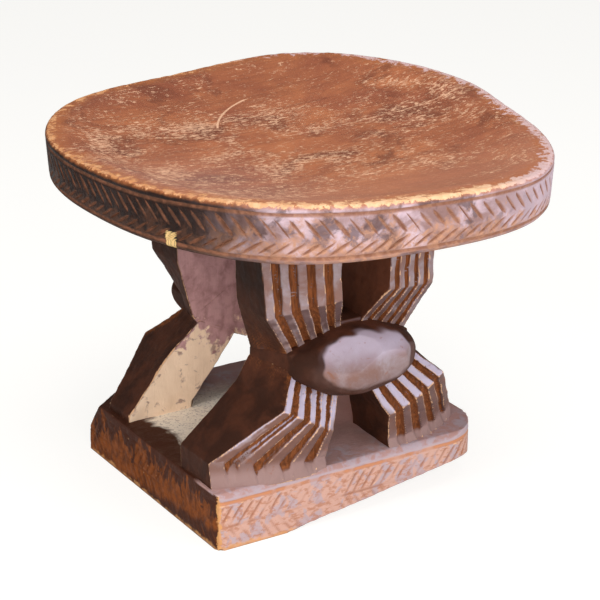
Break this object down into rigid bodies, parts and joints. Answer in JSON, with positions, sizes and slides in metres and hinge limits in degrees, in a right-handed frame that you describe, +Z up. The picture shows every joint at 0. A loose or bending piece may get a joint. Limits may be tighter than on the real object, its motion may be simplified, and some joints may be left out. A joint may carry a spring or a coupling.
{
  "type": "carved pedestal stool",
  "caption": "Low carved wooden stool: a dished rounded-square seat on an openwork pedestal of ridged limbs and almond bodies, standing on a rectangular plinth.",
  "frame": {"origin": "on the plinth's underside, on the floor, below the middle of the carved panels", "axes": "+Z up, +X along the plinth's long side, -Y towards the front of the stool"},
  "size_m": [0.4312, 0.4508, 0.337],
  "materials": {
    "seat_wood": "worn red-brown patina with pale scratches, carved rim",
    "base_wood": "worn orange-brown wood with a faded carved border",
    "pedestal_wood": "dark handled patina with a grey sheen on the ridges and raw wood in the grooves"
  },
  "bodies": {
    "root": {"seat": "seat_wood", "base": "base_wood", "front_body": "pedestal_wood", "rear_body": "pedestal_wood", "front_upper_left_limb": "pedestal_wood", "front_upper_right_limb": "pedestal_wood", "front_lower_left_limb": "pedestal_wood", "front_lower_right_limb": "pedestal_wood", "rear_upper_left_limb": "pedestal_wood", "rear_upper_right_limb": "pedestal_wood", "rear_lower_left_limb": "pedestal_wood", "rear_lower_right_limb": "pedestal_wood"}
  },
  "joints": []
}
